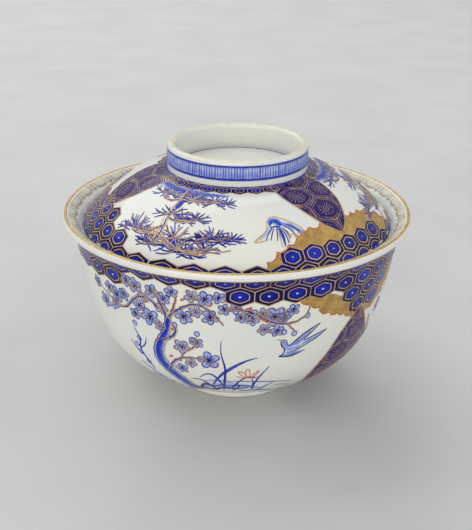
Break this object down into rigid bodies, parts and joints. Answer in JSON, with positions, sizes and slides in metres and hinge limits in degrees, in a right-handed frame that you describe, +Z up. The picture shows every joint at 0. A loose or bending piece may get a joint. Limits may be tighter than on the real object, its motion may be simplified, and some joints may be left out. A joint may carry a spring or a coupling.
{
  "type": "gaiwan",
  "caption": "Covered porcelain tea bowl with a turned foot and an everted lip, and a domed lid with a tall grip ring that seats inside the lip.",
  "frame": {"origin": "centre of the foot's resting plane", "axes": "+Z up along the axis that both pieces are turned about"},
  "size_m": [0.115, 0.115, 0.0847],
  "materials": {
    "porcelain_glaze": "gloss",
    "gilding": "satin",
    "cobalt_blue": "gloss",
    "cobalt_wash": "gloss",
    "iron_red": "gloss"
  },
  "bodies": {
    "bowl": {"bowl_body": "porcelain_glaze", "bowl_foot_ring": "porcelain_glaze", "bowl_lip_gilding": "gilding"},
    "lid": {"lid_dome": "porcelain_glaze", "lid_grip_ring": "porcelain_glaze", "lid_ring_gilding": "gilding"}
  },
  "joints": [
    {"name": "lid_lift", "type": "slide", "parent": "bowl", "child": "lid", "axis": [0, 0, 1], "range_m": [0, 0.06]}
  ]
}
